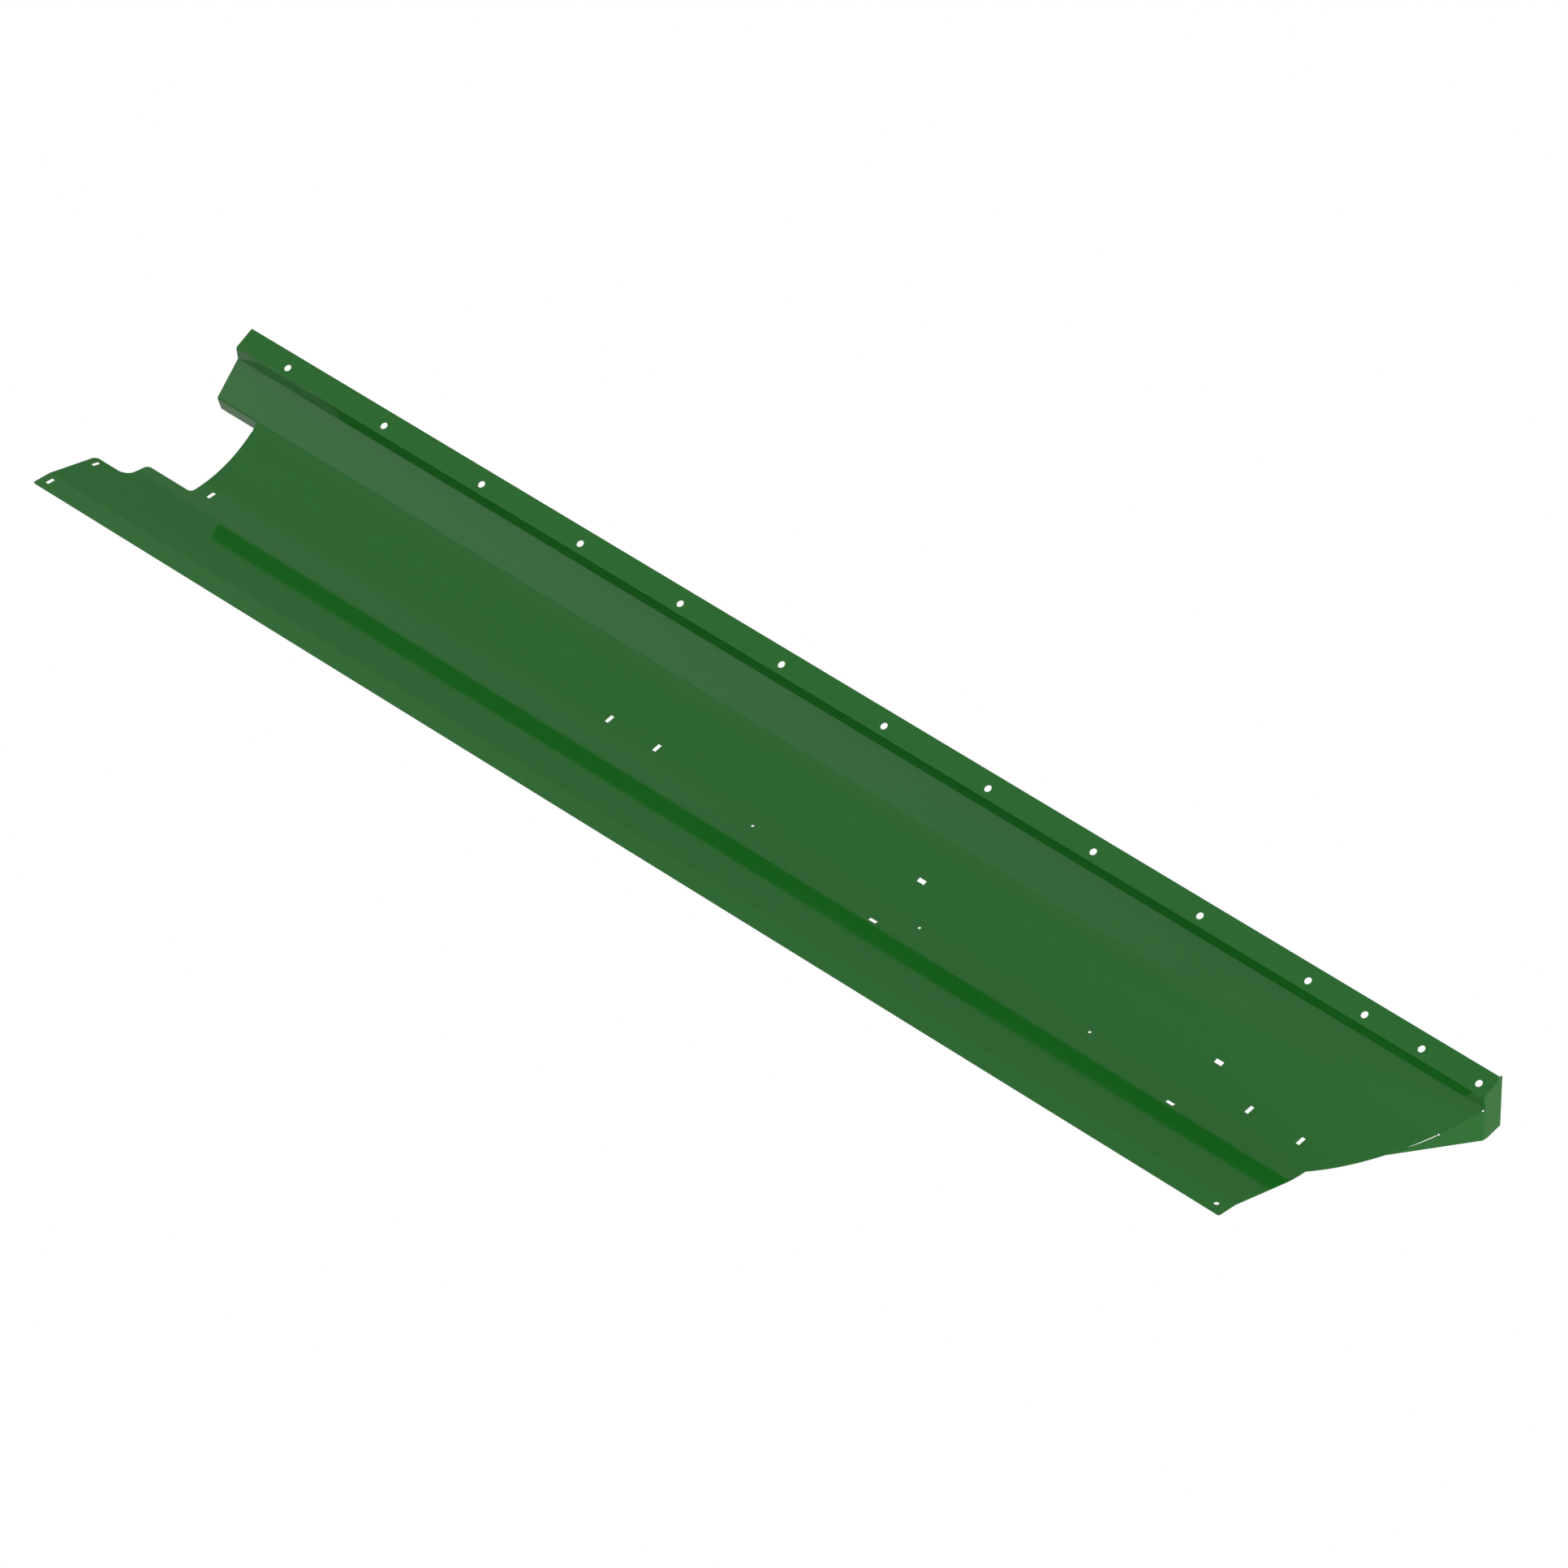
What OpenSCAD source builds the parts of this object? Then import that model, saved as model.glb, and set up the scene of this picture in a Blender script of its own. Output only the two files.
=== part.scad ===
// A long formed-sheet slide: one folded trough with a bolted flange, closed at one end by a small
// bent plate. X runs along the length, Y runs from the front lip back to the flange, Z is up.
// The section is drawn from the trough's lowest line, then the whole part is moved so that its
// origin is the middle hole of the main bolt row, on the flange's upper face.

/* [Sheet] */
// Thickness of the formed sheet
sheet_t = 1.5; // [1:0.1:2.5]
// Inside radius of the press-brake bends
bend_r = 2; // [1:0.5:4]

/* [Lengths along the slide] */
// Length of the lip, from end to end
lip_len = 2332; // [1900:1:2800]
// Distance from the lip's far end to the flange's far end
flange_start = 69; // [60:1:120]

/* [Section] */
// Width of the level front lip
lip_w = 32; // [20:1:50]
// Height of the lip above the trough's lowest line
lip_rise = 22; // [15:1:40]
// Angle of the ramp that falls back from the lip
ramp_slope = 11; // [8:0.5:14]
// Inside radius of the curved trough
trough_r = 187; // [160:1:210]
// Angle of the flat wall behind the trough
wall_slope = 48.5; // [44:0.5:54]
// Length of the flat part of the wall, up its slope
wall_len = 53; // [45:1:70]
// Height of the upright step above the wall, along its face
step_len = 21; // [14:1:30]
// Lean of the step towards the front, from upright
step_lean = 7.5; // [0:0.5:12]
// Width of the bolting flange, along its face
flange_w = 36; // [30:1:50]
// Angle at which the flange rises towards the back
flange_slope = 29.5; // [20:0.5:35]

/* [Far end cut-out] */
// Length of the narrow tongue, which carries the two end slots
tongue_len = 63; // [40:1:80]
// Distance of the tongue's back edge in front of the lowest line
tongue_edge = 42.5; // [35:0.5:50]
// Distance from the lip's far end to the cut edge of the curved trough
trough_start = 154; // [140:1:170]
// Distance of the middle edge behind the lowest line
middle_edge = 0; // [-3:0.5:5]
// Corner radius of the cut-out's outer corners
outer_corner_r = 8; // [4:1:12]
// Corner radius of the tongue's inside corner
tongue_corner_r = 16; // [6:1:18]
// Corner radius of the cut-out's inside corner beside the trough
trough_corner_r = 7; // [4:1:12]
// Corner radius of the lip and the flange
small_corner_r = 3; // [1:0.5:5]

/* [Stiffening tab at the far end] */
// Flat wall left below the start of the curve, where the tab folds down
tab_drop = 11; // [6:0.5:14]
// Length of the tab along the slide
tab_len = 84; // [60:1:84]
// Width of the tab, from its fold to its free edge
tab_w = 24; // [15:0.5:30]
// Angle between the tab and level
tab_slope = 72.5; // [60:0.5:85]
// Inside radius of the tab's fold
tab_bend_r = 5; // [2:0.5:6]
// Distance in front of the tab's fold where the trough's cut edge turns in to meet the tab
tab_meet_in = 5.3; // [3:0.1:7]
// Distance from that turn to the small nick in the trough's cut edge
nick_in = 6; // [4:0.5:9]
// Diameter of that nick
nick_d = 2; // [1:0.5:3]

/* [Near end] */
// Distance behind the lowest line where the slanting end cut starts
slant_start = 5.5; // [0:0.5:20]
// Advance of the slanting cut along the slide, per length round the section
slant_rate = 0.81; // [0.7:0.005:0.85]
// Distance in front of the flat wall's lower edge where the end plate's joint starts
joint_low_in = 6.1; // [2:0.1:10]
// Distance in front of the flat wall's upper edge where the end plate's joint stops
joint_high_in = 2.8; // [1.2:0.1:4.2]
// Advance of the end plate's long face along the slide, per distance back
plate_rate = 1.115; // [1:0.005:1.15]
// Distance along the slide from the cut edge to the plate's outer face at the wall's lower corner
plate_stand_off = 3.2; // [2:0.1:5]
// Distance in front of the flat wall's upper edge where the end plate folds
plate_turn_in = 0.4; // [0:0.1:1]
// Diameter of the two corner reliefs
relief_d = 5; // [4:0.5:7]

/* [End plate] */
// Distance behind the lowest line where the plate's tip lies
plate_tip_y = 88.5; // [84:0.5:95]
// Drop of the plate's tip below the trough's face
plate_tip_drop = 3.1; // [1:0.1:6]
// Drop of the plate's lower edge at its fold, below the flat wall's lower edge
plate_low_drop = 12.9; // [9:0.1:20]
// Distance by which the plate's back edge stands out past the flange
plate_past = 3.4; // [2:0.1:6]
// Width of the plate's slanting lower corner
plate_corner_w = 25; // [20:0.5:27]
// Height of the plate's slanting lower corner
plate_corner_h = 7; // [4:0.5:12]
// Gap between the plate's free upper edge and the curved trough
plate_gap = 0.25; // [0:0.25:3]

/* [Bolt holes in the flange] */
// Diameter of the flange holes
flange_hole_d = 11; // [8:0.5:12]
// Distance from the flange's far end to the first hole
first_hole_in = 95.7; // [20:0.1:150]
// Pitch of the main row, which holds as many holes as fit
main_pitch = 200; // [120:1:260]
// Number of closer holes at the near end
end_holes = 3; // [1:1:5]
// Pitch of the holes at the near end
end_pitch = 103.6; // [60:0.1:140]
// Distance from the last hole to the flange's near end
last_hole_in = 19.5; // [15:0.5:40]
// Distance of the hole row from the flange's lower corner, along its face
hole_row = 13.5; // [12:0.5:16]

/* [Slots and small holes in the trough] */
// Width of every slot
slot_w = 7; // [5:0.5:9]
// Length of every slot
slot_len = 14; // [10:0.5:18]
// Distance of the two end slots from the lip's far end
end_slot_x = 15; // [12:0.5:25]
// Distance of the lip slot from the lip's front edge
lip_slot_in = 19.2; // [10:0.1:24]
// Distance of the ramp slot from the tongue's back edge
ramp_slot_in = 14; // [11:0.5:40]
// Distance from the lip's far end to the slot beside the cut-out
side_slot_x = 181; // [175:1:200]
// Distance of that slot behind the lowest line
side_slot_y = 14.5; // [10:0.5:20]
// Distance from the lip's far end to the middle of the first lengthwise slot pair
long_pair_far = 1013.7; // [400:0.1:1100]
// Distance from the middle of the last lengthwise slot pair to the lip's near end
long_pair_near = 91.3; // [85:0.1:160]
// Spacing of a lengthwise slot pair
long_pair_pitch = 94.2; // [70:0.1:100]
// Distance of the lengthwise pairs behind the lowest line
long_pair_y = 43; // [35:0.5:50]
// Distance from the lip's far end to the first crosswise slot pair
cross_pair_far = 1543.7; // [1200:0.1:1580]
// Distance from the last crosswise slot pair to the lip's near end
cross_pair_near = 227.2; // [180:0.1:300]
// Spacing of a crosswise slot pair
cross_pair_pitch = 94.6; // [70:0.1:100]
// Distance from the lowest line to the middle of the crosswise pairs
cross_pair_y = 30; // [25:0.5:35]
// Diameter of the drain holes
drain_d = 5; // [3:0.5:8]
// Distance from the lip's far end to the first drain hole
drain_start = 1277; // [1200:1:1300]
// Number of drain holes
drains = 3; // [1:1:3]
// Pitch of the drain holes
drain_pitch = 322.8; // [280:0.1:330]
// Distance of the drain holes behind the lowest line
drain_y = 16; // [10:0.5:20]
// Diameter of the round hole in the lip
lip_hole_d = 7.5; // [5:0.5:9]
// Distance of the round lip hole from the lip's near end
lip_hole_back = 19.5; // [15:0.5:30]
// Distance of the round lip hole from the lip's front edge
lip_hole_in = 16.2; // [8:0.1:24]

/* [Welds] */
// Leg length of the fillet welds
weld_leg = 3; // [2:0.5:4]
// Bare length left at each end of a weld
weld_margin = 5; // [4:0.5:6]

/* [Hidden] */
$fn = 96;
// Reach of a cut that runs out past the part
past = 4000;
// Reach of a cut above and below the sheet
through = 8 * sheet_t;
// Turn between two points of the rolled trough, and of a tight bend
trough_step = 1.5;
bend_step = 10;
// Bends with a larger radius than this are drawn with the finer step
tight_r = 50;
// Number of stretches in the bowed end cut
cut_steps = 24;
// Facets of the large circle the plate's upper edge follows
fine_circle = 720;

function dir(a) = [cos(a), sin(a)];
function up(a) = [-sin(a), cos(a)];

// ---- section, as corners and directions from the front edge to the back edge ----

slopes = [0, -ramp_slope, wall_slope, 90 + step_lean, flange_slope];
// Radius of the upper face at each fold, which is the outer one where the sheet rounds over
fold_r = [bend_r + sheet_t, trough_r, bend_r, bend_r + sheet_t];

// The underside of the lowest line rests at zero
trough_centre = [0, sheet_t + trough_r];
ramp_end = trough_centre - trough_r * up(-ramp_slope);
wall_start = trough_centre - trough_r * up(wall_slope);
trough_corner = ramp_end + trough_r * tan((ramp_slope + wall_slope) / 2) * dir(-ramp_slope);
lip_z = lip_rise + sheet_t;
lip_back = [ramp_end[0] - (lip_z - ramp_end[1]) / tan(ramp_slope), lip_z];
lip_front = lip_back - [lip_w, 0];
wall_top = wall_start + wall_len * dir(wall_slope);
step_top = wall_top + step_len * dir(90 + step_lean);
flange_edge = step_top + flange_w * dir(flange_slope);
corners = [lip_front, lip_back, trough_corner, wall_top, step_top, flange_edge];

// The tab is drawn from its free edge up, so it shares the wall and what is above it
tab_fold = wall_start - tab_drop * dir(wall_slope);
tab_edge = tab_fold + tab_w * dir(-tab_slope);
tab_slopes = [180 - tab_slope, wall_slope, 90 + step_lean, flange_slope];
tab_fold_r = [tab_bend_r + sheet_t, bend_r, bend_r + sheet_t];
tab_corners = [tab_edge, tab_fold, wall_top, step_top, flange_edge];
tab_stop = flange_start + tab_len;
tab_meet_y = tab_fold[0] - tab_meet_in;

// Height and slope of the upper face at distance y behind the lowest line, up to the step
function trough_angle(y) = asin(y / trough_r);
function face_z(y) =
  y < lip_back[0] ? lip_z
  : y < ramp_end[0] ? lip_z - (y - lip_back[0]) * tan(ramp_slope)
  : y < wall_start[0] ? trough_centre[1] - trough_r * cos(trough_angle(y))
  : wall_start[1] + (y - wall_start[0]) * tan(wall_slope);
function face_slope(y) =
  y < lip_back[0] ? 0
  : y < ramp_end[0] ? -ramp_slope
  : y < wall_start[0] ? trough_angle(y)
  : wall_slope;

// ---- near end, in plan ----

plate_low_y = wall_start[0] - joint_low_in;
plate_high_y = wall_top[0] - joint_high_in;

// The slanting cut is straight on the flat sheet, so it bows in plan once the trough is rolled
function slant_x(y) =
  lip_len + slant_rate * trough_r * (trough_angle(y) - trough_angle(slant_start)) * PI / 180;

// Outer face of the end plate: one long slanting face, then a short one square to the length
plate_angle = atan(1 / plate_rate);
plate_low_x = slant_x(plate_low_y) + plate_stand_off;
function plate_x(y) = plate_low_x + plate_rate * (y - plate_low_y);
// Inner face of the same plate, where the sheet stops
function inner_x(y) = plate_x(y) - sheet_t / sin(plate_angle);
// It folds beside the wall's upper edge, so the short face sets where the flange ends
plate_turn_y = wall_top[0] - plate_turn_in;
flange_stop = inner_x(plate_turn_y);
plate_back_y = flange_edge[0] + plate_past;
plate_slopes = [plate_angle, 90];
plate_fold_r = [bend_r];

// ---- bolt rows ----

hole_line = step_top + hole_row * dir(flange_slope);
first_hole = flange_start + first_hole_in;
last_hole = flange_stop - last_hole_in;
end_row_x = [for (i = [0 : end_holes - 1]) last_hole - i * end_pitch];
// The main row stops at least half an end pitch before the closer holes
main_row_stop = last_hole - (end_holes - 0.5) * end_pitch;
main_row_x = [for (x = [first_hole : main_pitch : main_row_stop]) x];
origin = [main_row_x[floor((len(main_row_x) - 1) / 2)], hole_line[0], hole_line[1]];

// ---- drawing a folded strip ----

// Length of flat used up on each side of fold i
function lead(slopes, r, i) = r[i - 1] * tan(abs(slopes[i] - slopes[i - 1]) / 2);

// Round stretch at fold i, as points at the given depth below the upper face
function fold_points(corners, slopes, r, i, depth) =
  let (
    turn = slopes[i] - slopes[i - 1],
    side = sign(turn),
    radius = r[i - 1],
    centre = corners[i]
      - lead(slopes, r, i) * dir(slopes[i - 1])
      + side * radius * up(slopes[i - 1]),
    steps = ceil(abs(turn) / (radius > tight_r ? trough_step : bend_step))
  )
  [for (k = [0 : steps]) centre - (side * radius + depth) * up(slopes[i - 1] + turn * k / steps)];

function face_points(corners, slopes, r, depth) =
  let (last = len(slopes) - 1)
  concat(
    [corners[0] - depth * up(slopes[0])],
    [for (i = [1 : last]) each fold_points(corners, slopes, r, i, depth)],
    [corners[last + 1] - depth * up(slopes[last])]
  );

function reversed(list) = [for (i = [len(list) - 1 : -1 : 0]) list[i]];

module folded_strip(corners, slopes, r) {
  polygon(concat(
    face_points(corners, slopes, r, 0),
    reversed(face_points(corners, slopes, r, sheet_t))
  ));
}

// Plan of the end plate's inner face, from distance y behind the lowest line to past the back
function plate_corners(y) = [[inner_x(y), y], [flange_stop, plate_turn_y], [flange_stop, past]];

// Stands a drawing made in the YZ plane up along X
module along_x(start, stop) {
  translate([start, 0, 0]) rotate([90, 0, 90]) linear_extrude(stop - start) children();
}

// Runs a drawing made in plan through the whole height
module through_height() {
  translate([0, 0, -past / 2]) linear_extrude(past) children();
}

// ---- cuts, drawn in plan ----

// Piece between a square corner and its round, to trim a corner or to fill one in
module corner_piece(x, y, r, turn) {
  translate([x, y]) rotate(turn) difference() {
    translate([-1, -1]) square(r + 1);
    translate([r, r]) circle(r);
    translate([-1, -1]) square([r + 1, 1]);
    translate([-1, -1]) square([1, r + 1]);
  }
}

module far_end_cut() {
  difference() {
    polygon([
      [-past, -tongue_edge],
      [tongue_len, -tongue_edge],
      [tongue_len, middle_edge],
      [trough_start, middle_edge],
      [trough_start, tab_meet_y],
      [tab_stop, tab_meet_y],
      [tab_stop, past],
      [-past, past]
    ]);
    corner_piece(tongue_len, -tongue_edge, tongue_corner_r, 90);
    corner_piece(trough_start, middle_edge, trough_corner_r, 90);
  }
  corner_piece(0, -tongue_edge, outer_corner_r, 270);
  corner_piece(tongue_len, middle_edge, outer_corner_r, 270);
  corner_piece(0, lip_front[0], small_corner_r, 0);
}

// The sheet stops at the end plate's inner face where the two are joined
module near_end_cut() {
  polygon(concat(
    [[past, -past], [lip_len, -past]],
    [
      for (i = [0 : cut_steps])
        let (y = slant_start + i * (plate_low_y - slant_start) / cut_steps)
          [slant_x(y), y]
    ],
    face_points(plate_corners(plate_low_y), plate_slopes, plate_fold_r, 0),
    [[past, past]]
  ));
  corner_piece(lip_len, lip_front[0], small_corner_r, 90);
}

// Trims the two back corners of the flange to a round
module flange_corner_cut() {
  corner_piece(flange_start, flange_edge[0], small_corner_r, 270);
  corner_piece(flange_stop, flange_edge[0], small_corner_r, 180);
}

// ---- openings ----

// Sets a cutter square to the upper face at distance y behind the lowest line
module at_face(x, y) {
  translate([x, y, face_z(y)]) rotate([face_slope(y), 0, 0]) children();
}

module slot(x, y, size) {
  at_face(x, y) cube([size[0], size[1], through], center = true);
}

module round_hole(x, y, d) {
  at_face(x, y) cylinder(d = d, h = through, center = true);
}

module trough_openings() {
  across = [slot_w, slot_len];
  lengthwise = [slot_len, slot_w];
  slot(end_slot_x, lip_front[0] + lip_slot_in, across);
  slot(end_slot_x, -tongue_edge - ramp_slot_in, across);
  slot(side_slot_x, side_slot_y, across);
  for (x = [long_pair_far, lip_len - long_pair_near], side = [-1, 1])
    slot(x + side * long_pair_pitch / 2, long_pair_y, across);
  for (x = [cross_pair_far, lip_len - cross_pair_near], side = [-1, 1])
    slot(x, cross_pair_y + side * cross_pair_pitch / 2, lengthwise);
  for (i = [0 : drains - 1])
    round_hole(drain_start + i * drain_pitch, drain_y, drain_d);
  round_hole(lip_len - lip_hole_back, lip_front[0] + lip_hole_in, lip_hole_d);
  round_hole(trough_start, tab_meet_y - nick_in, nick_d);
}

module flange_bolt_holes() {
  for (x = concat(main_row_x, end_row_x))
    translate([x, hole_line[0], hole_line[1]])
      rotate([flange_slope, 0, 0])
        cylinder(d = flange_hole_d, h = through, center = true);
}

// Round reliefs where the joined edge of the wall starts and ends
module corner_reliefs() {
  for (y = [plate_low_y, plate_high_y])
    translate([plate_x(y), y, face_z(y)]) sphere(d = relief_d);
}

// ---- sub-parts, placed from the lip's far end and the trough's lowest line ----

module trough_sheet() {
  color("#2e6b31") difference() {
    union() {
      difference() {
        along_x(0, flange_stop) folded_strip(corners, slopes, fold_r);
        through_height() far_end_cut();
      }
      along_x(flange_start, tab_stop) folded_strip(tab_corners, tab_slopes, tab_fold_r);
    }
    through_height() near_end_cut();
    through_height() flange_corner_cut();
    trough_openings();
    flange_bolt_holes();
    corner_reliefs();
  }
}

// The plate seen along the slide: it follows the wall, the step and the flange, and stays
// clear of the curved trough
module plate_outline() {
  plate_low_z = wall_start[1] - plate_low_drop;
  difference() {
    polygon([
      [plate_tip_y, face_z(plate_tip_y) - plate_tip_drop],
      [plate_turn_y, plate_low_z],
      [plate_back_y - plate_corner_w, plate_low_z],
      [plate_back_y, plate_low_z + plate_corner_h],
      [plate_back_y, flange_edge[1]],
      flange_edge,
      step_top,
      wall_top,
      wall_start,
      [plate_low_y, face_z(plate_low_y)],
      [plate_tip_y, face_z(plate_tip_y)]
    ]);
    difference() {
      translate(trough_centre) circle(trough_r + sheet_t + plate_gap, $fn = fine_circle);
      translate([plate_low_y, 0]) square(past);
    }
  }
}

// The plate seen from above: two faces and the upright fold between them
module plate_plan() {
  folded_strip(plate_corners(0), plate_slopes, plate_fold_r);
}

// The space on the sheet's side of the plate, seen from above
module plate_side() {
  polygon(concat(face_points(plate_corners(0), plate_slopes, plate_fold_r, 0), [[0, past], [0, 0]]));
}

module end_plate() {
  color("#3d7a40") difference() {
    intersection() {
      linear_extrude(past) plate_plan();
      along_x(0, past) plate_outline();
    }
    corner_reliefs();
  }
}

// Half-round bead that runs from one point to another, before it is trimmed into its corner
module bead(start, stop) {
  run = stop - start;
  translate(start)
    rotate([0, acos(run[2] / norm(run)), atan2(run[1], run[0])])
      cylinder(r = weld_leg, h = norm(run));
}

// Space below one flat stretch of the section, as a drawing in the YZ plane
module space_below(corner, slope, length) {
  a = corner - sheet_t * up(slope);
  polygon([a, a + length * dir(slope), a + length * dir(slope) - past * up(slope), a - past * up(slope)]);
}

// Fillet in the corner between the underside of the wall and the back of the plate's long face
module wall_weld() {
  foot = wall_start - sheet_t * up(wall_slope);
  low = foot + weld_margin * dir(wall_slope);
  high = foot + (wall_len - weld_margin - bend_r) * dir(wall_slope);
  color("#3d7a40") intersection() {
    bead([inner_x(low[0]), low[0], low[1]], [inner_x(high[0]), high[0], high[1]]);
    along_x(0, past) space_below(wall_start, wall_slope, wall_len);
    through_height() plate_side();
  }
}

// Fillets in the corners between the plate's short face and the undersides of step and flange
module flange_weld() {
  color("#3d7a40") {
    fillet_across(step_top, flange_slope, flange_w);
    fillet_across(wall_top, 90 + step_lean, step_len);
  }
}

// Fillet between the plate's short face and the underside of one flat stretch
module fillet_across(corner, slope, length) {
  foot = corner - sheet_t * up(slope);
  low = foot + weld_margin * dir(slope);
  high = foot + (length - weld_margin) * dir(slope);
  intersection() {
    bead([flange_stop, low[0], low[1]], [flange_stop, high[0], high[1]]);
    along_x(0, past) space_below(corner, slope, length);
    through_height() plate_side();
  }
}

translate(-origin) trough_sheet();
translate(-origin) end_plate();
translate(-origin) wall_weld();
translate(-origin) flange_weld();
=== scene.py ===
# %% [markdown]
# # A long formed-sheet slide in gloss green paint
# The object is one long trough of folded sheet steel: a level lip in front, a ramp that falls into a
# rolled bottom, a flat wall, a short upright step and a sloping bolting flange. A small bent plate
# closes one end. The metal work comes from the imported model, so this lesson is about the rest of what
# the eye sees: a gloss paint film, its weld beads, and a studio whose reflections show the shape.

# %% Load the frame
import math
import bmesh
import bpy
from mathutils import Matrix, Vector


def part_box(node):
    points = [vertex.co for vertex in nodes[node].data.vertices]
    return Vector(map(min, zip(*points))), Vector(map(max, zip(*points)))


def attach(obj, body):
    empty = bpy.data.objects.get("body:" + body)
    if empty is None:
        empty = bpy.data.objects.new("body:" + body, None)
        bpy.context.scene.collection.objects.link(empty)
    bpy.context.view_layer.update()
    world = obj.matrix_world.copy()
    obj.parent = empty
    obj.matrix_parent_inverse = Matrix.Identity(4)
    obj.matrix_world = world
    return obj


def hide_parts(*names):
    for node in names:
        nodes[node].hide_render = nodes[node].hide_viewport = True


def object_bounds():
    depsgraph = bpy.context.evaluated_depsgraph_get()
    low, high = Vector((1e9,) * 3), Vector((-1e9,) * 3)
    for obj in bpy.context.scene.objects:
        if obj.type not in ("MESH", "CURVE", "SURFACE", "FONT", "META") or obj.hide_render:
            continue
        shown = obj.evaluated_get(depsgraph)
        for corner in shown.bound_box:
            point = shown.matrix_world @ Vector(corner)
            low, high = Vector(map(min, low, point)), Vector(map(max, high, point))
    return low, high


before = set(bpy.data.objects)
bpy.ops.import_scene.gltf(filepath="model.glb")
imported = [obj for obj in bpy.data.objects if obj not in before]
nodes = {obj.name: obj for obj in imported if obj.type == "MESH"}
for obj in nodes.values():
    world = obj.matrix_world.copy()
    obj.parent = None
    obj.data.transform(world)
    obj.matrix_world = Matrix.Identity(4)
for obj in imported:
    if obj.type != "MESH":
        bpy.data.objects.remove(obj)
cad_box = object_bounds()
low, high = cad_box
print("pieces:", sorted(nodes))
print("overall size in mm:", [round(1000 * side) for side in high - low])

# %% [markdown]
# ## Units and colours
# Sizes are written in millimetres and colours as sRGB hex values, as on a paint card. Blender works
# in metres and in linear light, so two small functions do the change in one place each.

# %% Units and colours
def mm(value):
    return value / 1000


def paint_card(hex_colour):
    """An sRGB hex value as linear red, green, blue and alpha."""
    linear = []
    for start in (1, 3, 5):
        share = int(hex_colour[start:start + 2], 16) / 255
        linear.append(share / 12.92 if share <= 0.04045 else ((share + 0.055) / 1.055) ** 2.4)
    return (*linear, 1.0)


WHITE = paint_card("#ffffff")
print("white in linear light:", WHITE)

# %% [markdown]
# ## Small helpers
# Every material below is a small graph. One function adds a node, sets its properties and inputs, and
# links whatever is passed as a socket, so that a graph reads from top to bottom like a recipe. The
# others start a material, put an object in the scene and smooth a mesh.

# %% Small helpers
def add_node(tree, kind, inputs=None, **settings):
    """Adds a node; a value in inputs that is a socket is linked, and anything else is set."""
    node = tree.nodes.new(kind)
    for name, value in settings.items():
        setattr(node, name, value)
    for name, value in (inputs or {}).items():
        if isinstance(value, bpy.types.NodeSocket):
            tree.links.new(value, node.inputs[name])
        else:
            node.inputs[name].default_value = value
    return node


def empty_material(name):
    """A material whose graph has no nodes yet."""
    material = bpy.data.materials.new(name)
    material.use_nodes = True
    material.node_tree.nodes.clear()
    return material


def add_object(name, data):
    """An object in the scene, at the origin."""
    thing = bpy.data.objects.new(name, data)
    bpy.context.scene.collection.objects.link(thing)
    return thing


def smooth_up_to(angle, mesh):
    """Smooth shading, with every edge that turns by more than the angle left crisp."""
    mesh.polygons.foreach_set("use_smooth", [True] * len(mesh.polygons))
    mesh.set_sharp_from_angle(angle=angle)


# %% [markdown]
# ## The paint: gloss enamel on formed steel
# The real finish is a gloss polyester enamel, sprayed over bent and drilled steel and baked. It flows
# out almost level, so it mirrors the studio sharply, but not quite: it keeps a faint orange peel, a
# shallow ripple a few millimetres across. Its pigment varies very little from place to place. The
# ripple goes into the bump, the unevenness of the film into roughness, and the pigment into colour.

# %% Gloss enamel
PEEL_WIDTH = mm(3.5)
PEEL_DEPTH = mm(0.0006)
# Width of the slow changes in the film and its pigment
FLOW_WIDTH = mm(180)
# Most of a noise texture lies between these two values
NOISE_LOW, NOISE_HIGH = 0.3, 0.7
SMOOTHEST, ROUGHEST = 0.04, 0.07
ENAMEL_IOR = 1.5


def gloss_enamel(name, light_card, dark_card):
    """Gloss enamel, between a lighter and a darker card of the same green."""
    material = empty_material(name)
    tree = material.node_tree
    place = add_node(tree, "ShaderNodeTexCoord").outputs["Object"]
    flow = add_node(tree, "ShaderNodeTexNoise", {
        "Vector": place, "Scale": 1 / FLOW_WIDTH, "Detail": 3.0, "Roughness": 0.5})
    pigment = add_node(tree, "ShaderNodeMix", {
        "Factor": flow.outputs["Fac"], "A": paint_card(dark_card), "B": paint_card(light_card),
    }, data_type="RGBA")
    film = add_node(tree, "ShaderNodeMapRange", {
        "Value": flow.outputs["Fac"], "From Min": NOISE_LOW, "From Max": NOISE_HIGH,
        "To Min": SMOOTHEST, "To Max": ROUGHEST})
    peel = add_node(tree, "ShaderNodeTexNoise", {
        "Vector": place, "Scale": 1 / PEEL_WIDTH, "Detail": 1.0, "Roughness": 0.4})
    ripple = add_node(tree, "ShaderNodeBump", {
        "Height": peel.outputs["Fac"], "Distance": PEEL_DEPTH, "Strength": 1.0})
    shader = add_node(tree, "ShaderNodeBsdfPrincipled", {
        "Base Color": pigment.outputs["Result"], "Roughness": film.outputs["Result"],
        "Normal": ripple.outputs["Normal"], "Metallic": 0.0, "IOR": ENAMEL_IOR})
    add_node(tree, "ShaderNodeOutputMaterial", {"Surface": shader.outputs["BSDF"]})
    print(f"{name}: peel {1000 * PEEL_WIDTH:.1f} mm wide and {1e6 * PEEL_DEPTH:.1f} microns deep")
    return material


enamel = gloss_enamel("gloss_green_enamel_on_steel", light_card="#0f5916", dark_card="#0d5714")

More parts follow.
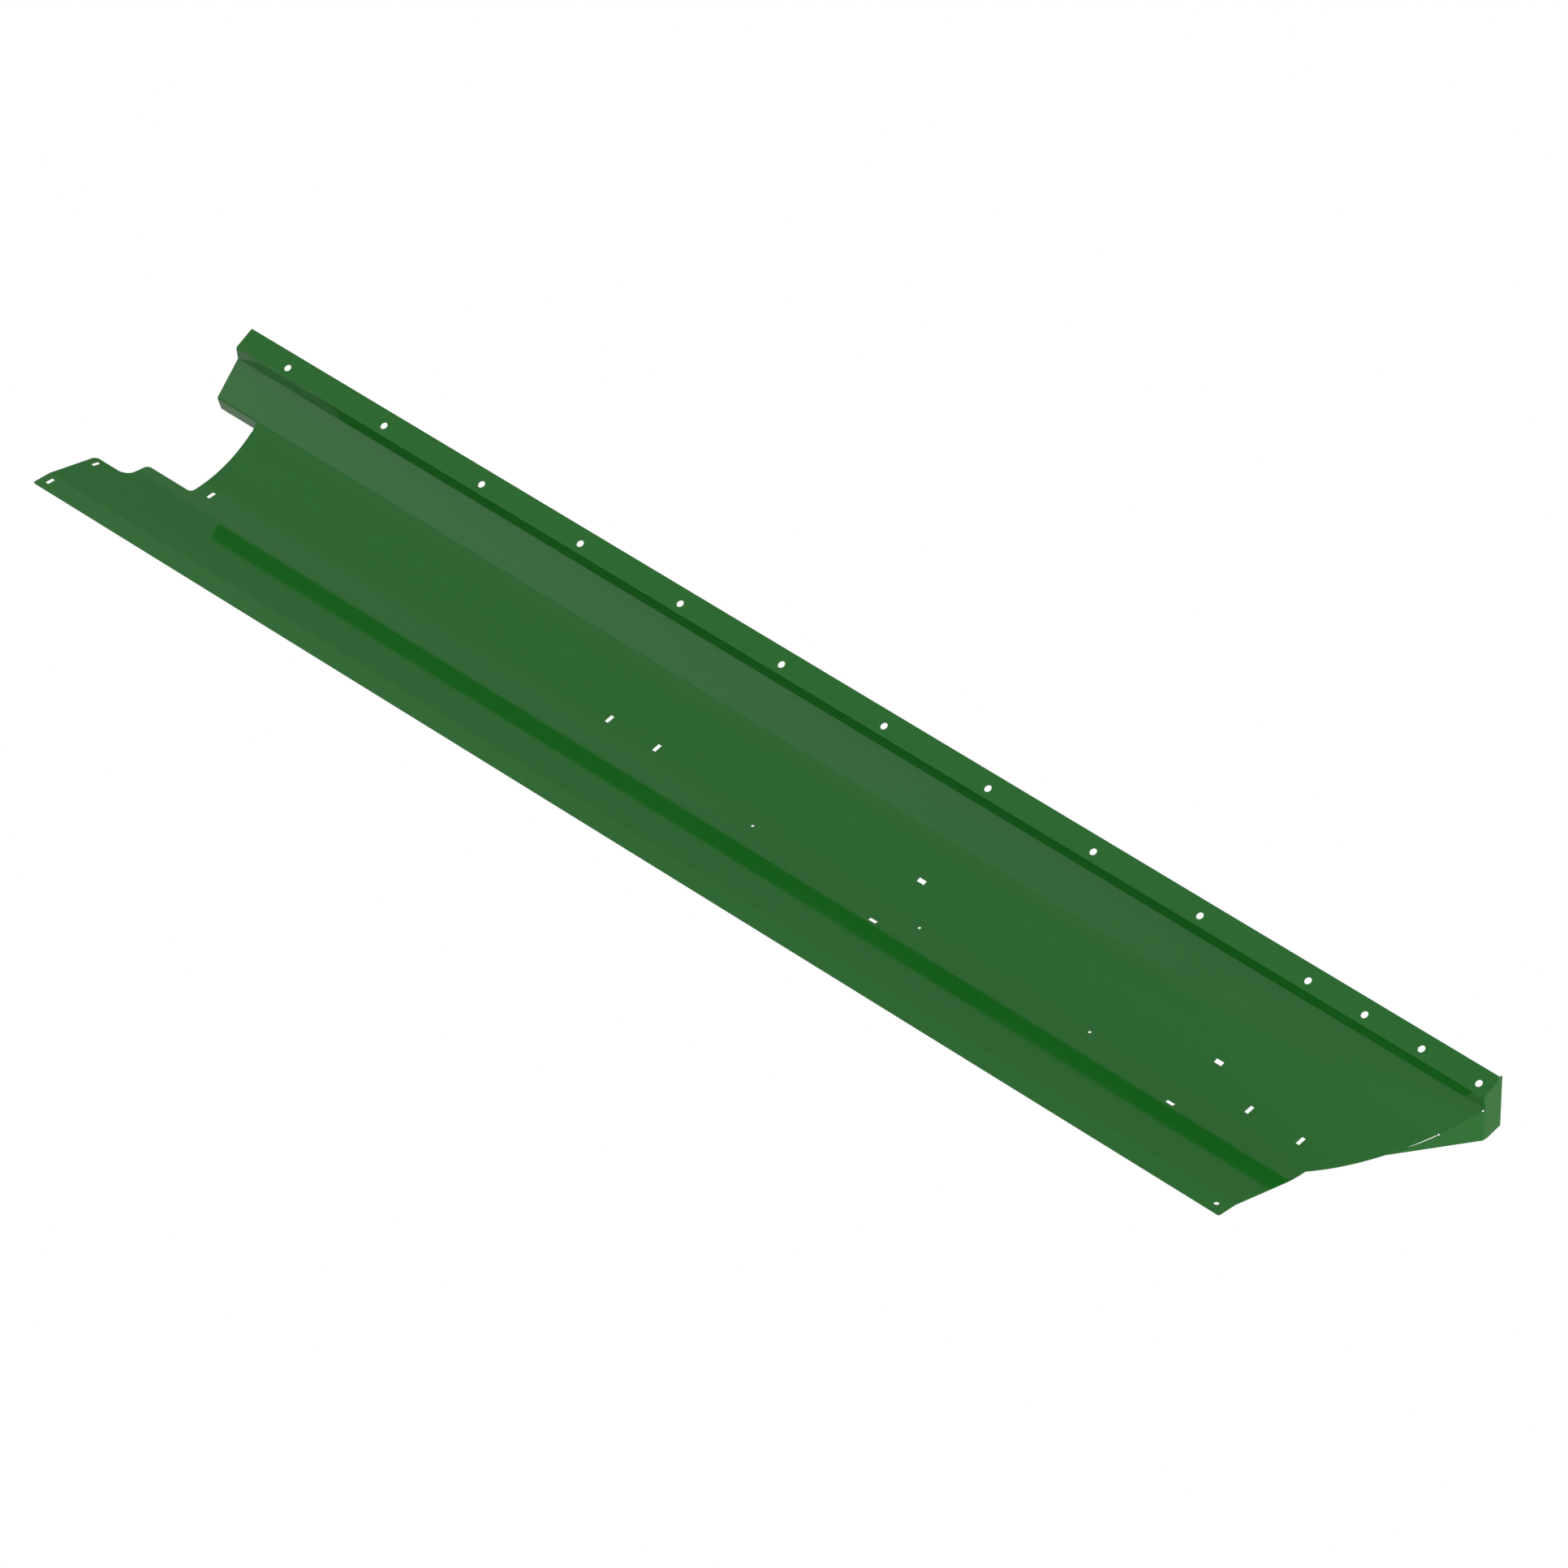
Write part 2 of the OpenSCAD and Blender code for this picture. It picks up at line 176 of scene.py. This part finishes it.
# %% [markdown]
# ## Painting the metal work
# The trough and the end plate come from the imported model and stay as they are. Their folds and the
# rolled bottom are short straight stretches, which smooth shading blends. The cut edges turn by a
# right angle and stay sharp. A weighted normal keeps the wide flat faces truly flat right up to each
# fold, so that a reflection bends only where the sheet does.

# %% Paint and smooth the sheet metal
# More than one stretch of a fold turns, and less than a cut edge
FOLD_ANGLE = math.radians(32)


def paint_sheet(piece):
    """Gloss enamel, smooth over the folds and crisp at the cut edges."""
    smooth_up_to(FOLD_ANGLE, piece.data)
    weighted = piece.modifiers.new("flat_faces_stay_flat", "WEIGHTED_NORMAL")
    weighted.keep_sharp = True
    piece.data.materials.clear()
    piece.data.materials.append(enamel)


for name in ("trough_sheet", "end_plate"):
    paint_sheet(nodes[name])
    print(f"{name}: {len(nodes[name].data.polygons)} faces, painted")

# %% [markdown]
# ## The weld beads
# The end plate is held by three short fillet welds on the hidden side: one along the wall, one up the
# step and one across the flange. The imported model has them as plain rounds. A real bead is a row of
# overlapping ripples, each one a small puddle that froze, with rounded ends, and the paint covers it.
# A plain round with a bump map would still have a smooth outline, so each bead is drawn as rings
# along its root, the line where the two sheets meet. The radius of each ring carries the ripples.

# %% Where the welds run
ALONG = Vector((1.0, 0.0, 0.0))
BACKWARD = Vector((0.0, 1.0, 0.0))
DOWN = Vector((0.0, 0.0, -1.0))
# Both ends of each root, in millimetres from the middle hole of the main bolt row
WALL_LOW, WALL_HIGH = (1296.50, -39.69, -64.41), (1326.79, -12.52, -33.70)
STEP_LOW, STEP_HIGH = (1330.27, -8.17, -22.32), (1330.27, -9.61, -11.41)
FLANGE_FRONT, FLANGE_BACK = (1330.27, -6.66, -5.49), (1330.27, 15.97, 7.31)


def root_line(*points):
    """The two ends of a weld's root as vectors in metres."""
    return [Vector(point) / 1000 for point in points]


# The runs of each piece: a root line, and the way its leg goes on the plate
WELDS = {
    "wall_weld": [(root_line(WALL_LOW, WALL_HIGH), DOWN)],
    "flange_weld": [
        (root_line(STEP_LOW, STEP_HIGH), BACKWARD),
        (root_line(FLANGE_FRONT, FLANGE_BACK), DOWN)],
}
for name, runs in WELDS.items():
    print(name, "runs", [round(1000 * (end - start).length, 1) for (start, end), _ in runs], "mm")

# %% One rippled bead
# Length of a fillet's two legs, one on each sheet
LEG = mm(3)
RING_STEP = mm(0.25)
RING_POINTS = 12
RIPPLE_PITCH = mm(1.6)
RIPPLE_DEPTH = mm(0.3)
# How far the middle of a ripple runs ahead of its ends
RIPPLE_BOW = mm(1.0)
# How far the face rises from flat, at 0, towards a full round, at 1
CROWN = 0.35
# Keeps the first and last ring from closing to a point
BLUNT_END = 0.1


def across(direction, run):
    """The part of a direction that is square to a run."""
    return (direction - direction.project(run)).normalized()


def add_bead(mesh, root, plate_side):
    """Adds the rings of one bead to a mesh: its root, then its rippled face from leg to leg."""
    length = (root[1] - root[0]).length
    run = (root[1] - root[0]) / length
    on_sheet, on_plate = across(-ALONG, run), across(plate_side, run)
    corner = on_sheet.angle(on_plate)
    rings = []
    count = round(length / RING_STEP)
    for i in range(count + 1):
        along = length * i / count
        to_end = min(min(along, length - along) / LEG + BLUNT_END, 1)
        swell = math.sqrt(1 - (1 - to_end) ** 2)
        middle = root[0] + run * along
        ring = [mesh.verts.new(middle)]
        for k in range(RING_POINTS + 1):
            turn = corner * k / RING_POINTS
            flat = LEG * math.cos(corner / 2) / math.cos(turn - corner / 2)
            bow = RIPPLE_BOW * math.sin(math.pi * k / RING_POINTS)
            puddle = abs(math.sin(math.pi * (along + bow) / RIPPLE_PITCH))
            radius = swell * (flat + CROWN * (LEG - flat) - RIPPLE_DEPTH * (1 - puddle))
            aim = (math.sin(corner - turn) * on_sheet + math.sin(turn) * on_plate) / math.sin(corner)
            ring.append(mesh.verts.new(middle + radius * aim))
        rings.append(ring)
    for near, far in zip(rings, rings[1:]):
        for k in range(len(near)):
            after = (k + 1) % len(near)
            mesh.faces.new((near[k], near[after], far[after], far[k]))
    mesh.faces.new(rings[0])
    mesh.faces.new(rings[-1])


# %% Build the beads in place of the plain rounds
# More than the surface turns from ring to ring, and less than at a leg
TOE_ANGLE = math.radians(70)


def box_of(mesh):
    """The lowest and the highest corner of a mesh."""
    axes = list(zip(*(vertex.co for vertex in mesh.vertices)))
    return Vector(map(min, axes)), Vector(map(max, axes))


for name, runs in WELDS.items():
    mesh = bmesh.new()
    for root, plate_side in runs:
        add_bead(mesh, root, plate_side)
    bmesh.ops.recalc_face_normals(mesh, faces=mesh.faces)
    data = bpy.data.meshes.new(name + "_beads")
    mesh.to_mesh(data)
    mesh.free()
    smooth_up_to(TOE_ANGLE, data)
    data.materials.append(enamel)
    beads = add_object(name + "_beads", data)
    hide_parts(name)
    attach(beads, "root")
    gap = [round(1000 * (a - b).length, 2) for a, b in zip(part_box(name), box_of(data))]
    print(f"{name}: {len(data.polygons)} faces; its box corners are within {gap} mm of the plain weld's")

# %% [markdown]
# ## The floor
# The part is shown as on its machine, held by its flange with nothing under it, so the floor is a
# plain sheet well below. A gloss film mirrors the floor in every face that looks down. The floor is
# therefore a mid grey card for the part, and plain white for the camera, as if a second lamp
# over-exposed it.

# %% Floor
FLOOR_DROP = 1.6
FLOOR_REACH = 60.0
bpy.ops.mesh.primitive_plane_add(size=2 * FLOOR_REACH, location=(0, 0, low.z - FLOOR_DROP))
floor = bpy.context.object
floor.name = "floor"
floor_card = empty_material("pale_card_floor")
tree = floor_card.node_tree
seen = add_node(tree, "ShaderNodeEmission", {"Color": WHITE, "Strength": 1.0})
felt = add_node(tree, "ShaderNodeBsdfDiffuse", {"Color": paint_card("#b9b9b9")})
ray = add_node(tree, "ShaderNodeLightPath")
floor_look = add_node(tree, "ShaderNodeMixShader", {
    0: ray.outputs["Is Camera Ray"], 1: felt.outputs[0], 2: seen.outputs[0]})
add_node(tree, "ShaderNodeOutputMaterial", {"Surface": floor_look.outputs[0]})
floor.data.materials.append(floor_card)
print("floor at", round(low.z - FLOOR_DROP, 3), "m")

# %% [markdown]
# ## The room
# Every long face of the slide runs along X, so what it mirrors depends only on the angle round X. The
# left half of the room is a soft backdrop with its brightness set by that angle, from the front of the
# slide, over the top, to its back. The right half is a large even light, which no long face mirrors:
# it gives the paint its colour.

# %% Room
# Brightness of the even light where a direction's X is 0, and how much it gains where X is 1
EVEN_MIDDLE = 1.2
EVEN_GAIN = 1.25
# X of the directions between which the even light gives way to the backdrop
BACKDROP_FROM, BACKDROP_FULL = -0.25, -0.45
# Degrees from straight up towards the back of the slide, and the brightness there
BACKDROP = [
    (-90, 0.75), (-54, 0.64), (-33, 0.57), (-16, 0.56), (3, 0.53), (15, 0.49), (27, 0.46),
    (39, 0.43), (45, 0.40), (51, 0.365), (57, 0.32), (65, 0.28), (90, 0.25)]
room = bpy.data.worlds.new("studio")
bpy.context.scene.world = room
room.use_nodes = True
sky = room.node_tree
sky.nodes.clear()
direction = add_node(sky, "ShaderNodeSeparateXYZ", {
    0: add_node(sky, "ShaderNodeTexCoord").outputs["Generated"]})
angle = add_node(sky, "ShaderNodeMath", {
    0: direction.outputs["Y"], 1: direction.outputs["Z"]}, operation="ARCTAN2")
share = add_node(sky, "ShaderNodeMapRange", {
    "Value": angle.outputs[0], "From Min": -math.pi / 2, "From Max": math.pi / 2})
backdrop = add_node(sky, "ShaderNodeValToRGB", {"Fac": share.outputs["Result"]})
stops = backdrop.color_ramp.elements
while len(stops) < len(BACKDROP):
    stops.new(0.5)
for stop, (degrees, brightness) in zip(stops, BACKDROP):
    stop.position = (degrees + 90) / 180
    stop.color = (brightness, brightness, brightness, 1.0)
even = add_node(sky, "ShaderNodeMath", {
    0: direction.outputs["X"], 1: EVEN_GAIN, 2: EVEN_MIDDLE}, operation="MULTIPLY_ADD")
side = add_node(sky, "ShaderNodeMapRange", {
    "Value": direction.outputs["X"], "From Min": BACKDROP_FROM, "From Max": BACKDROP_FULL,
}, interpolation_type="SMOOTHSTEP")
light = add_node(sky, "ShaderNodeMix", {
    "Factor": side.outputs["Result"], "A": even.outputs[0], "B": backdrop.outputs["Color"]})
lit = add_node(sky, "ShaderNodeBackground", {"Color": WHITE, "Strength": light.outputs["Result"]})
white = add_node(sky, "ShaderNodeBackground", {"Color": WHITE, "Strength": 1.0})
ray = add_node(sky, "ShaderNodeLightPath")
both = add_node(sky, "ShaderNodeMixShader", {
    0: ray.outputs["Is Camera Ray"], 1: lit.outputs["Background"], 2: white.outputs["Background"]})
add_node(sky, "ShaderNodeOutputWorld", {"Surface": both.outputs["Shader"]})
print("backdrop brightness:", BACKDROP)

# %% [markdown]
# ## Three soft lamps
# Two glowing panels add to what the long faces mirror. They are clear sheets that glow, so they have
# no dark edge. One stands in front, and gives the flat wall its sheen, which stops short of the curved
# trough and fades along the slide. The other hangs high behind the left end, and lifts the lip and the
# lowest part of the trough there. A low softbox beyond the right-hand end lights the end plate. It
# stays below the rim of the slide, so it doesn't touch the long faces.

# %% Glowing panels
# The left and right end of each, its lower and upper edge as Y and Z, and the glow at its left end
PANELS = {
    "front_panel": ((-3.5, -0.75), (-2.45, 0.3), (-2.45, 2.07), 0.52),
    "back_panel": ((-4.6, -2.1), (2.83, 2.06), (1.37, 3.22), 0.14),
}


def glowing_panel(name, ends, lower_edge, upper_edge, glow):
    """A clear panel that glows evenly up and down, and fades to nothing at its right end."""
    left, right = ends
    data = bpy.data.meshes.new(name)
    data.from_pydata([
        (left, *lower_edge), (right, *lower_edge), (right, *upper_edge), (left, *upper_edge),
    ], [], [(0, 1, 2, 3)])
    material = empty_material(name + "_glow")
    tree = material.node_tree
    place = add_node(tree, "ShaderNodeSeparateXYZ", {
        0: add_node(tree, "ShaderNodeTexCoord").outputs["Generated"]})
    fade = add_node(tree, "ShaderNodeMapRange", {
        "Value": place.outputs["X"], "To Min": glow, "To Max": 0.0})
    shine = add_node(tree, "ShaderNodeEmission", {"Strength": fade.outputs["Result"]})
    clear = add_node(tree, "ShaderNodeBsdfTransparent")
    both = add_node(tree, "ShaderNodeAddShader", {0: shine.outputs[0], 1: clear.outputs[0]})
    add_node(tree, "ShaderNodeOutputMaterial", {"Surface": both.outputs[0]})
    data.materials.append(material)
    panel = add_object(name, data)
    panel.visible_camera = False
    panel.visible_shadow = False
    panel.visible_diffuse = False
    print(f"{name}: {right - left:.2f} m long, glow {glow} at its left end")


for name, panel_sizes in PANELS.items():
    glowing_panel(name, *panel_sizes)

# %% Softbox at the end
SOFTBOX_PLACE = Vector((4.0, -2.6, low.z - 0.8))
SOFTBOX_AIM = Vector((-0.75, 0.66, 0.0))
SOFTBOX_WIDTH = 1.4
SOFTBOX_HEIGHT = 3.0
SOFTBOX_WATTS = 46.0
box_data = bpy.data.lights.new("end_softbox", "AREA")
box_data.shape = "RECTANGLE"
box_data.size = SOFTBOX_WIDTH
box_data.size_y = SOFTBOX_HEIGHT
box_data.energy = SOFTBOX_WATTS
softbox = add_object("end_softbox", box_data)
softbox.location = SOFTBOX_PLACE
softbox.rotation_euler = SOFTBOX_AIM.to_track_quat("-Z", "Y").to_euler()
softbox.visible_camera = False
print("softbox at", [round(c, 2) for c in softbox.location])

# %% [markdown]
# ## The camera
# The slide is 2.5 m long and shown almost without perspective, so the camera stands far away behind a
# long lens: 45 degrees round from the front and about 37 degrees above the horizon.

# %% Camera
AZIMUTH = math.radians(45)
ELEVATION = math.radians(37.45)
DISTANCE = 17.277
AIM = Vector((0.1412, -0.1359, -0.0591))
SENSOR_WIDTH_MM = 36.0
LENS_MM = 287.9
# Past the far side of the floor
SIGHT = 200.0
camera_data = bpy.data.cameras.new("camera")
camera_data.sensor_width = SENSOR_WIDTH_MM
camera_data.lens = LENS_MM
camera_data.clip_end = SIGHT
camera = add_object("camera", camera_data)
back = Vector((
    math.sin(AZIMUTH) * math.cos(ELEVATION),
    -math.cos(AZIMUTH) * math.cos(ELEVATION),
    math.sin(ELEVATION)))
camera.location = AIM + DISTANCE * back
camera.rotation_euler = (-back).to_track_quat("-Z", "Y").to_euler()
bpy.context.scene.camera = camera
bpy.context.scene.view_settings.view_transform = "Standard"
print("camera at", [round(c, 3) for c in camera.location])
